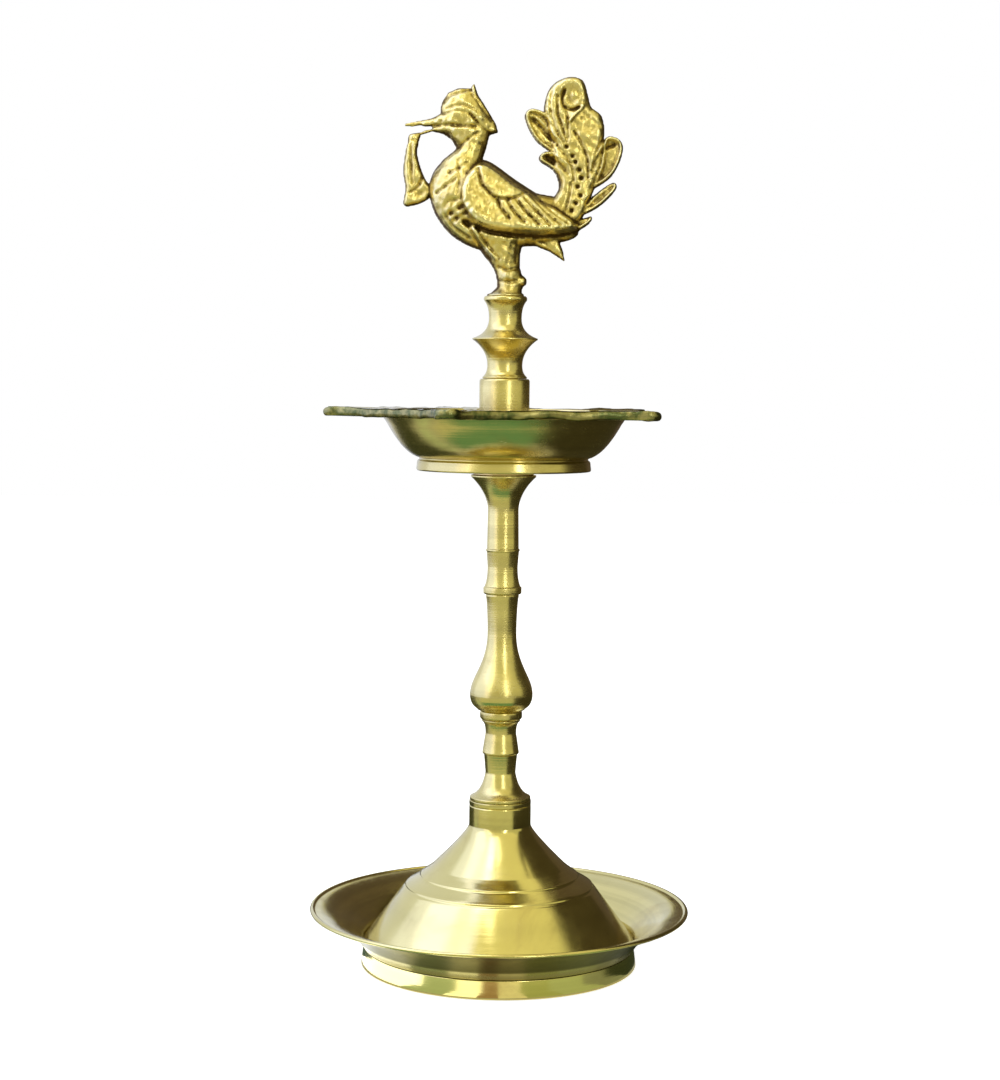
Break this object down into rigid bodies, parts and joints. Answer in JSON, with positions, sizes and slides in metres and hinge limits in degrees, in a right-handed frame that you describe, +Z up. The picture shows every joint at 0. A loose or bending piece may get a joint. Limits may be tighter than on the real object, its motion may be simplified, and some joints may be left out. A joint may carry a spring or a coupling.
{
  "type": "standing oil lamp",
  "caption": "Tall brass oil lamp with a drip-dish base, a turned stem in screwed sections, a spouted oil bowl and a bird finial.",
  "frame": {"origin": "centre of the foot ring's underside, on the stem's axis, where the lamp stands", "axes": "+Z up along the stem's axis, the lamp's longest extent; the bird looks along -X and the picture looks along +Y"},
  "size_m": [0.1314, 0.1314, 0.3048],
  "materials": {
    "polished_brass": "lathe-turned and polished, with fine turning lines",
    "satin_brass": "lathe-turned, satin with bright edges",
    "cast_brass": "sand-cast and chased, rougher, with dark recesses",
    "plain_brass": "plain drawn bar and sheet, unpolished"
  },
  "bodies": {
    "base": {"foot_ring": "polished_brass", "base_dish": "polished_brass", "base_bell": "polished_brass"},
    "lower_screw": {"stem_lower_stud": "plain_brass"},
    "lower_stem": {"stem_lower": "satin_brass"},
    "middle_screw": {"stem_middle_stud": "plain_brass", "bead_ring": "satin_brass"},
    "middle_stem": {"stem_middle": "satin_brass"},
    "upper_screw": {"stem_upper_stud": "plain_brass"},
    "upper_stem": {"stem_upper": "satin_brass"},
    "bowl": {"bowl_washer": "plain_brass", "oil_bowl": "satin_brass"},
    "finial_screw": {"finial_stud": "plain_brass"},
    "finial": {"finial_collar": "satin_brass", "finial_baluster": "satin_brass", "bird": "cast_brass"}
  },
  "joints": [
    {"name": "lower_rise", "type": "slide", "parent": "base", "child": "lower_screw", "axis": [0, 0, 1], "range_m": [0, 0.009]},
    {"name": "lower_turn", "type": "hinge", "parent": "lower_screw", "child": "lower_stem", "pos_m": [0, 0, 0.0574], "axis": [0, 0, 1], "range_deg": [0, 2160]},
    {"name": "middle_rise", "type": "slide", "parent": "lower_stem", "child": "middle_screw", "axis": [0, 0, 1], "range_m": [0, 0.009]},
    {"name": "middle_turn", "type": "hinge", "parent": "middle_screw", "child": "middle_stem", "pos_m": [0, 0, 0.0888], "axis": [0, 0, 1], "range_deg": [0, 2160]},
    {"name": "upper_rise", "type": "slide", "parent": "middle_stem", "child": "upper_screw", "axis": [0, 0, 1], "range_m": [0, 0.009]},
    {"name": "upper_turn", "type": "hinge", "parent": "upper_screw", "child": "upper_stem", "pos_m": [0, 0, 0.129], "axis": [0, 0, 1], "range_deg": [0, 2160]},
    {"name": "bowl_turn", "type": "hinge", "parent": "upper_stem", "child": "bowl", "pos_m": [0, 0, 0.1713], "axis": [0, 0, 1], "continuous": true},
    {"name": "finial_rise", "type": "slide", "parent": "upper_stem", "child": "finial_screw", "axis": [0, 0, 1], "range_m": [0, 0.009]},
    {"name": "finial_turn", "type": "hinge", "parent": "finial_screw", "child": "finial", "pos_m": [0, 0, 0.2029], "axis": [0, 0, 1], "range_deg": [0, 2160]}
  ],
  "couplings": [
    {"joint": "lower_turn", "follows": "lower_rise", "rad_per_m": 4188.8},
    {"joint": "middle_turn", "follows": "middle_rise", "rad_per_m": 4188.8},
    {"joint": "upper_turn", "follows": "upper_rise", "rad_per_m": 4188.8},
    {"joint": "finial_turn", "follows": "finial_rise", "rad_per_m": 4188.8}
  ]
}
